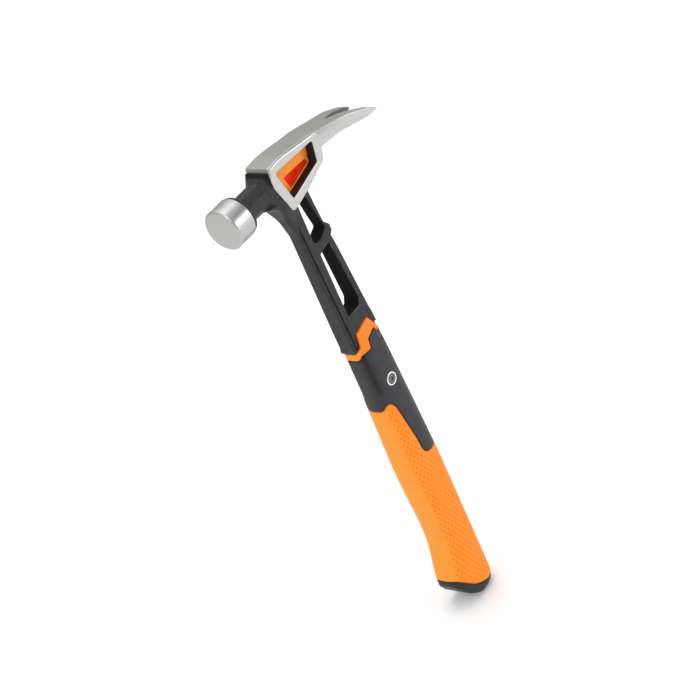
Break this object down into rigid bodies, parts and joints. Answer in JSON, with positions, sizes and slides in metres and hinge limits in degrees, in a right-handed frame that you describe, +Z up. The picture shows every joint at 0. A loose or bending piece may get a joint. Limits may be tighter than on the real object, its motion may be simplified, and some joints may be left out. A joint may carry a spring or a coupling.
{
  "type": "claw hammer",
  "caption": "Rip claw hammer: forged steel head with a framed window, openwork steel shank, rubber isolating collar and a moulded handle with a soft grip.",
  "frame": {"origin": "on the flat of the butt, under the axis of the handle", "axes": "+Z up along the handle to the head, -X out of the strike face, +X to the claw, Y across the cheeks"},
  "size_m": [0.1383, 0.0268, 0.3418],
  "materials": {
    "ground_steel": "satin ground",
    "polished_steel": "fine turned",
    "black_coating": "satin, lightly textured",
    "insert_plastic": "gloss",
    "sleeve_rubber": "smooth",
    "core_plastic": "satin",
    "grip_rubber": "matt, with small dimples",
    "cap_plastic": "satin",
    "bolt_steel": "dark zinc",
    "washer_steel": "polished",
    "bush_rubber": "matt"
  },
  "bodies": {
    "root": {"claw_head": "ground_steel", "striking_bell": "polished_steel", "shank": "black_coating", "window_insert": "insert_plastic", "isolating_sleeve": "sleeve_rubber", "tang_end_pad": "sleeve_rubber", "handle_core": "core_plastic", "grip": "grip_rubber", "end_cap": "cap_plastic", "handle_bolt": "bolt_steel", "barrel_nut": "bolt_steel", "cup_washers": "washer_steel", "bolt_bush": "bush_rubber"}
  },
  "joints": []
}
